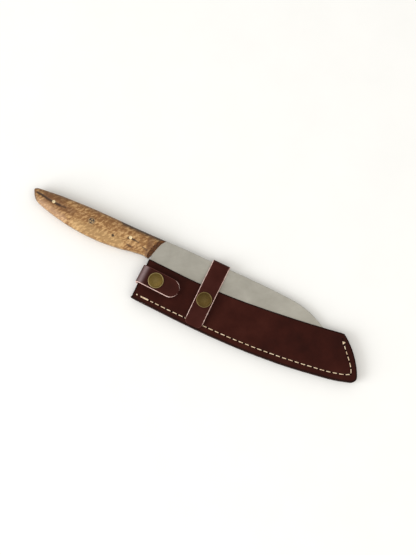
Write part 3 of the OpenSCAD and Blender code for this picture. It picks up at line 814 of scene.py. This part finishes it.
def stitches(holes, levels, side, lift, gap, closed=False, doubled=False):
    """Two-ply stitches along the holes. levels are the heights at the holes."""
    parts = []
    count = len(holes) if closed else len(holes) - 1
    for k in range(count):
        after = (k + 1) % len(holes)
        a, b = holes[k], holes[after]
        level = (levels[k] + levels[after]) / 2
        space = gap * (1 + 0.18 * math.sin(k * 2.4))
        for shift in (-0.3, 0.3) if doubled else (0.04 * math.sin(k * 1.7),):
            for phase in (k, k + math.pi):
                parts.append(rope(ply_path(a, b, level, side, lift, space, phase, shift), PLY_R))
    return joined(parts)


def hole_marks(holes, levels, ways, side, half_long=0.95, half_wide=0.5):
    """(points, faces) of shallow dark dishes of painted shade in the slits that the thread goes through,
    each along its way.
    """
    parts = []
    turn = np.linspace(0, 2 * np.pi, 16, endpoint=False)
    u, v = half_long * np.cos(turn), half_wide * np.sin(turn)
    for (x, y), level, way in zip(holes, levels, ways):
        rings = []
        for share, height in ((1.15, -0.2), (1.0, 0.1), (0.7, 0.05), (0.02, 0.03)):
            rings.append(np.column_stack([x + share * (u * way[0] - v * way[1]),
                                          y + share * (u * way[1] + v * way[0]),
                                          np.full(len(turn), level + side * height)]))
        points, faces = tube(rings, caps=False)
        parts.append((points, [f[::side] for f in faces]))
    return joined(parts)


def sewn(name, threads, slits):
    """A piece of thread with painted shade in the slits that it goes through."""
    which = [0] * len(threads[1]) + [1] * len(slits[1])
    return piece(name, *joined([threads, slits]), [THREAD, HOLE_SHADE], which, smooth_under=60)


def knot(at, level):
    """(points, faces) of a small overhand knot."""
    a = np.linspace(0, 2 * np.pi, 60)
    x = at[0] + 0.44 * (np.sin(a) + 1.3 * np.sin(2 * a))
    y = at[1] + 0.44 * (np.cos(a) - 1.3 * np.cos(2 * a))
    z = level + 0.62 + 0.34 * -np.sin(3 * a)
    return rope(np.column_stack([x, y, z]), 0.42, 9)


# Distances along the seam: the tack, the long doubled stitch, the front's first and last regular holes
TACK = (-0.4, 1.2)
LONG_STITCH = (4.2, 12.0)
FIRST_REGULAR = 13.0
LAST_REGULAR = (seam_length - 7.2, seam_length - 1.8)
ABOVE_LEATHER = 0.1
SLIT_ABOVE, SPARE_ABOVE = 0.06, 0.05


def seam_piece():
    level = leather_level(seam_holes)
    regular = np.vstack([sample(SEAM, [FIRST_REGULAR]), seam_holes[3:-2], sample(SEAM, LAST_REGULAR)])
    regular_level = leather_level(regular)
    start = [level[0] + ABOVE_LEATHER] * 2
    threads = joined([stitches(sample(SEAM, TACK), start, 1, 0.3, 0.0, doubled=True),
                      stitches(sample(SEAM, LONG_STITCH), start, 1, 0.34, 0.0, doubled=True),
                      stitches(regular, regular_level + ABOVE_LEATHER, 1, 0.3, 1.9),
                      stitches(seam_holes, -level - ABOVE_LEATHER, -1, 0.1, 1.2),
                      knot(seam_holes[-1], level[-1])])
    spare = np.array([SPARE_HOLE], float)
    spare_level = leather_level(spare) + SPARE_ABOVE
    slits = [hole_marks(regular, regular_level + SLIT_ABOVE, ways_along(regular), 1),
             hole_marks(seam_holes, -level - SLIT_ABOVE, ways_along(seam_holes), -1)]
    slits += [hole_marks(spare, spare_level * side, [(1, 0)], side, 0.75, 0.6) for side in (1, -1)]
    return sewn("waxed_seam", threads, joined(slits))


# ---------- straps
def strip(line, width, low_r, high_r, dimple_at, grain_out):
    """A leather strip along a line of (length, height) points, with its low and high ends rounded.

    It is pressed in round its snap, dimple_at along the line, and grain_out is its smooth side.
    Returns points as (length, across, height), faces, each face's material and a flat map.
    """
    total = run(line)[-1]
    n = int(total / 0.55)
    s = np.linspace(0, total, n)
    ends = np.concatenate([low_r * (1 - np.cos(np.linspace(0, np.pi / 2, 14))), [total],
                           total - high_r * (1 - np.cos(np.linspace(0, np.pi / 2, 14)))])
    s = np.unique(np.round(np.concatenate([s, ends]), 3))
    s = s[np.concatenate([[True], np.diff(s) > 0.01])]
    centre = sample(line, s)
    way = np.gradient(centre, s, axis=0)
    way /= np.linalg.norm(way, axis=1, keepdims=True)
    normal = np.column_stack([-way[:, 1], way[:, 0]]) * grain_out

    half = np.full(len(s), width / 2)
    for end_r, from_end in ((low_r, s), (high_r, total - s)):
        near = from_end < end_r
        sagitta = np.sqrt(np.maximum(end_r ** 2 - (end_r - from_end[near]) ** 2, 0))
        half[near] = width / 2 - end_r + sagitta
    half = np.maximum(half, 0.05)
    r, t = 0.5, STRAP_T / 2
    corner = [(math.cos(a), math.sin(a)) for a in np.radians(np.linspace(0, 90, 5))]
    steps = np.linspace(1, -1, 15)
    rings, flats = [], []
    for i in range(len(s)):
        h = half[i]
        q = min(r, h * 0.9)
        top = [(h - q + q * c, t - r + r * e) for c, e in corner]
        top += [((h - q) * k, t) for k in steps[1:-1]]
        top += [(-(h - q) - q * c, t - r + r * e) for c, e in corner[::-1]]
        ring = top + [(w, -z) for w, z in top[::-1]]
        ring = np.array(ring)
        lift = ring[:, 1].copy()
        rho = np.hypot(s[i] - dimple_at, ring[:, 0])
        lift -= np.where(ring[:, 1] > 0.3, 0.16 * np.exp(-((rho - CAP_R - 0.6) / 0.9) ** 2), 0)
        base = centre[i][None] + normal[i][None] * lift[:, None]
        rings.append(np.column_stack([base[:, 0], ring[:, 0], base[:, 1]]))
        flats.append(np.column_stack([np.full(len(ring), s[i]), ring[:, 0] + ring[:, 1]]))
    points, faces = tube(rings)
    m, edge = len(rings[0]), len(corner) - 1
    # 0 is the smooth side, 1 a cut edge and 2 the rough side
    kinds = []
    for f in faces:
        k = [v % m for v in f]
        kind = 1
        if len(f) == 4 and edge <= min(k) and max(k) < m // 2 - edge:
            kind = 0
        elif len(f) == 4 and m // 2 + edge <= min(k) and max(k) < m - edge:
            kind = 2
        kinds.append(kind)
    return points, faces, kinds, np.concatenate(flats)


def softened(line, reach):
    """The same line with its corners eased over about reach."""
    total = run(line)[-1]
    fine = sample(line, np.linspace(0, total, int(total / 0.15)))
    width = int(reach / 0.15) | 1
    kernel = np.hanning(width + 2)[1:-1]
    kernel /= kernel.sum()
    pad = width // 2
    out = []
    for k in range(2):
        column = fine[:, k]
        low = 2 * column[0] - column[pad:0:-1]
        high = 2 * column[-1] - column[-2:-pad - 2:-1]
        out.append(np.convolve(np.concatenate([low, column, high]), kernel, "valid"))
    return np.column_stack(out)


PLATEAU = 8.5
BLADE_STRAP_W, HEEL_STRAP_W = 16.6, 17
BLADE_END, BLADE_BASE_END, LEAVE_PANEL = -25.5, -17.5, 12
HEEL_END, HEEL_BASE_END, WALL_AT, BEND_R, LOW_BEND_R = 22.7, 16, -15.55, 5.5, 1.1
CORNER_R = 5


def touch_angle(p, side):
    """Where round the fold a straight line from p touches it, in degrees."""
    away = np.array(p) - np.array(FOLD)
    turn = math.atan2(away[1], away[0]) - side * math.acos(FOLD_R / np.hypot(*away))
    return math.degrees(turn)


def snap_along(line):
    """How far along a strap's line its snap's axis is, in the line's upper half."""
    half = len(line) // 2
    return run(line)[half:][np.argmin(np.abs(line[half:, 0]))]


def blade_strap_piece():
    back = touch_angle((LEAVE_PANEL, STRAP_BACK), -1)
    front = touch_angle((PLATEAU, STRAP_FRONT), 1)
    line = np.vstack([[(BLADE_BASE_END, STRAP_BACK), (LEAVE_PANEL, STRAP_BACK)],
                      arc(FOLD, FOLD_R, back, front, 24),
                      [(PLATEAU, STRAP_FRONT), (-PLATEAU, STRAP_FRONT), (-14, STRAP_FRONT - 0.5),
                       (-20, STRAP_FRONT - 1.4), (BLADE_END, STRAP_FRONT - 2.4)]])
    line = softened(line, 2.4)
    points, faces, kinds, flat = strip(line, BLADE_STRAP_W, CORNER_R, CORNER_R, snap_along(line), -1)
    local = points[:, [1, 0, 2]]
    # the cut edge is darker at the free end, and worn bare along the sides
    darker_edge = np.clip((CORNER_R + 1 - (run(line)[-1] - flat[:, 0])) / 2, 0, 1)
    return piece("blade_strap_leather_strip", placed(BLADE_SNAP, BLADE_TURN, local), faces,
                 [BLADE_STRAP_LEATHER, STRAP_EDGE, FLESH], kinds, uv=flat, marks={"rim": darker_edge})


def heel_strap_piece():
    corner = (WALL_AT + LOW_BEND_R, STRAP_BACK + LOW_BEND_R)
    bend = (WALL_AT + BEND_R, STRAP_FRONT - BEND_R)
    line = np.vstack([[(HEEL_BASE_END, STRAP_BACK)], arc(corner, LOW_BEND_R, -90, -180, 8),
                      arc(bend, BEND_R, 180, 90, 18),
                      [(PLATEAU, STRAP_FRONT), (14, STRAP_FRONT - 0.4), (HEEL_END, STRAP_FRONT - 1.5)]])
    line = softened(line, 1.6)
    points, faces, kinds, flat = strip(line, HEEL_STRAP_W, CORNER_R, HEEL_STRAP_W / 2 - 0.01,
                                       snap_along(line), 1)
    # painted shade darkens the cut edge along the upper side; a glossy coat and a painted highlight
    # lighten the front bend
    darker_edge = np.clip(points[:, 1] - 4, 0, 1) * np.clip((HEEL_END - 4 - points[:, 0]) / 3, 0, 1)
    gloss_and_painted_highlight = np.exp(-((points[:, 0] - (WALL_AT + 2.6)) / 2.2) ** 2) * (points[:, 2] > 0)
    return piece("heel_strap_leather_strip", placed(HEEL_SNAP, HEEL_TURN, points), faces,
                 [HEEL_STRAP_LEATHER, STRAP_EDGE, FLESH], kinds, uv=flat,
                 marks={"rim": darker_edge, "gloss_and_painted_highlight": gloss_and_painted_highlight})


BASE_PITCH = 4


def box_holes(left, right, low, high):
    """Stitch holes round a rectangle."""
    loop = np.array([(left, low), (right, low), (right, high), (left, high), (left, low)], float)
    total = run(loop)[-1]
    n = round(total / BASE_PITCH)
    return sample(loop, total * np.arange(n) / n)


def base_thread_piece(name, at, turn, holes):
    flat = placed(at, turn, np.column_stack([holes, np.zeros(len(holes))]))[:, :2]
    outside = np.full(len(flat), -PANEL_OUT - STRAP_T)
    inside = np.full(len(flat), -PANEL_IN)
    threads = joined([stitches(flat, outside + 0.3, -1, 0.0, 0.7, closed=True),
                      stitches(flat, inside - 0.1, 1, -0.1, 0.7, closed=True)])
    slits = hole_marks(flat, outside, [(1, 0)] * len(flat), -1, 0.5, 0.4)
    return sewn(name, threads, slits)


# ---------- snap caps
def cap_piece(name, at, turn, paint):
    """Rolled rim, groove and shallow dome over the hollow rivet."""
    low = STRAP_FRONT + STRAP_T / 2
    rivet = low - STRAP_T - 0.9
    hole_r, rivet_r, foot_r, rim_r, dome_r = 1.4, 2.0, 2.4, 0.5, 5.4
    profile = [(hole_r, rivet), (foot_r, rivet), (foot_r, rivet + 0.3), (rivet_r, rivet + 0.3),
               (rivet_r, low - 0.02), (CAP_R - rim_r, low - 0.02), (CAP_R - 0.12, low + 0.08)]
    profile += [tuple(p) for p in arc((CAP_R - rim_r, low + rim_r), rim_r, -40, 165, 16)]
    profile += [(CAP_R - 1.2, low + 0.84), (CAP_R - 1.45, low + 0.83), (CAP_R - 1.8, low + 0.87)]
    for r in (5.2, 4.6, 4, 3.2, 2.4, 1.6, 0.8, 0.02):
        profile.append((r, low + 0.86 + 0.52 * (1 - (r / dome_r) ** 2)))
    profile += [(0.02, low + 0.2), (hole_r, low + 0.2)]
    points, faces = turned(profile, at, turn)
    reach = np.tile([p[0] for p in profile], len(points) // len(profile))
    # painted highlight: strongest on the rolled rim, faint over the middle of the dome
    rim = np.clip((reach - (CAP_R - 1.1)) / 0.6, 0, 1) + 0.25 * np.exp(-(reach / 3.5) ** 2)
    return piece(name, points, faces, [paint], marks={"rim": np.clip(rim, 0, 1)}, smooth_under=50)


# ---------- the object
def stands_for(obj, body, *nodes):
    """The piece replaces nodes, which are hidden; with a body, it is attached to that body."""
    if body is not None:
        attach(obj, body)
    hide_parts(*nodes)


stands_for(scale_piece(1), "knife", "scale_front")
stands_for(scale_piece(-1), "knife", "scale_back")
stands_for(blade_piece(), "knife", "blade")
for obj, node in pin_pieces():
    stands_for(obj, "knife", node)
stands_for(panel_piece(1), "sheath", "front_panel")
stands_for(panel_piece(-1), "sheath", "back_panel")
stands_for(welt_piece(), "sheath", "welt")
stands_for(seam_piece(), "sheath", "seam_thread")
blade_box = box_holes(-5.4, 5.4, -15, 8.6)
stands_for(base_thread_piece("blade_strap_stitches", BLADE_SNAP, BLADE_TURN, blade_box),
           "sheath", "blade_strap_thread")
heel_box = box_holes(-10.4, 13.4, -6, 6)
stands_for(base_thread_piece("heel_strap_stitches", HEEL_SNAP, HEEL_TURN, heel_box),
           "sheath", "heel_strap_thread")

blade_strap = blade_strap_piece()
stands_for(blade_strap, None, "blade_strap_base", "blade_strap_fold", "blade_strap_flap")
pivot = Vector(JOINTS["blade_strap_hinge"]["pos_m"])
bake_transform(blade_strap)

heel_strap = heel_strap_piece()
stands_for(heel_strap, None, "heel_strap_base", "heel_strap_fold", "heel_strap_flap")
pivot = Vector(JOINTS["heel_strap_hinge"]["pos_m"])
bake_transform(heel_strap)

stands_for(cap_piece("blade_strap_cap", BLADE_SNAP, BLADE_TURN, DULL_CAP),
           "blade_strap", "blade_snap_cap")
stands_for(cap_piece("heel_strap_cap", HEEL_SNAP, HEEL_TURN, CAP),
           "heel_strap", "heel_snap_cap")

for node in frame["nodes"]:
    if "snap" in node and "cap" not in node:
        mesh = frame["nodes"][node].data
        mesh.materials.clear()
        mesh.materials.append(SNAP)

# ---------- table, light and camera
VIEW_HEIGHT = 0.4995
VIEW_CENTRE = (52.2, -15.1)
VIEW_TURN = math.radians(22.8)
VIEW_TILT = math.radians(8)
LENS, SENSOR = 150, 36
TABLE_HALF = 3


def table():
    m = Paint("white_table", Specular_IOR_Level=0.2)
    speck = m.noise(m.place((1, 1, 1)), 0.02, 3)
    colour = m.ramp(speck, (0.3, (0.87, 0.868, 0.858, 1)), (0.7, (0.89, 0.888, 0.878, 1)))
    m.set(Base_Color=colour, Roughness=0.6)
    mesh = bpy.data.meshes.new("table")
    corners = [(x * TABLE_HALF, y * TABLE_HALF, 0) for x, y in ((-1, -1), (1, -1), (1, 1), (-1, 1))]
    mesh.from_pydata(corners, [], [(0, 1, 2, 3)])
    mesh.materials.append(m.material)
    obj = bpy.data.objects.new("table", mesh)
    obj.location.z = cad_low[2] - 0.00002
    bpy.context.scene.collection.objects.link(obj)


right = Vector((math.cos(VIEW_TURN), math.sin(VIEW_TURN), 0))
down = Vector((math.sin(VIEW_TURN), -math.cos(VIEW_TURN), 0))
UP = Vector((0, 0, 1))
target = Vector(to_row([(*VIEW_CENTRE, 0)])[0])


def aimed(obj, place, at, top):
    """Puts obj at place, looking at a point, with top upwards in its view."""
    back = (place - at).normalized()
    side = top.cross(back).normalized()
    turn = Matrix((side, back.cross(side), back)).transposed()
    obj.matrix_world = Matrix.Translation(place) @ turn.to_4x4()


def light(name, way, distance_m, size, power, colour):
    data = bpy.data.lights.new(name, "AREA")
    data.shape, data.size, data.energy, data.color = "DISK", size, power, colour
    obj = bpy.data.objects.new(name, data)
    bpy.context.scene.collection.objects.link(obj)
    aimed(obj, target + way.normalized() * distance_m, target, Vector((0.3, 0.9, 0.1)))


def camera():
    data = bpy.data.cameras.new("camera")
    data.lens, data.sensor_width = LENS, SENSOR
    data.clip_start, data.clip_end = 0.01, 20
    obj = bpy.data.objects.new("camera", data)
    bpy.context.scene.collection.objects.link(obj)
    away = UP * math.cos(VIEW_TILT) + down * math.sin(VIEW_TILT)
    aimed(obj, target + away * (VIEW_HEIGHT * LENS / SENSOR), target, -down)
    bpy.context.scene.camera = obj


table()
light("window", -right * 1.35 + down * 0.42 + UP * 0.74, 2.6, 2.0, 46, (0.97, 0.985, 1.0))
light("lamp", right * 0.5 + down * 0.5 + UP * 1.6, 2.6, 2.2, 14, (1.0, 0.96, 0.86))
world = bpy.data.worlds.new("room")
world.use_nodes = True
world.node_tree.nodes["Background"].inputs["Color"].default_value = (1.0, 0.985, 0.95, 1)
world.node_tree.nodes["Background"].inputs["Strength"].default_value = 0.75
bpy.context.scene.world = world
bpy.context.scene.view_settings.view_transform = "Standard"
camera()
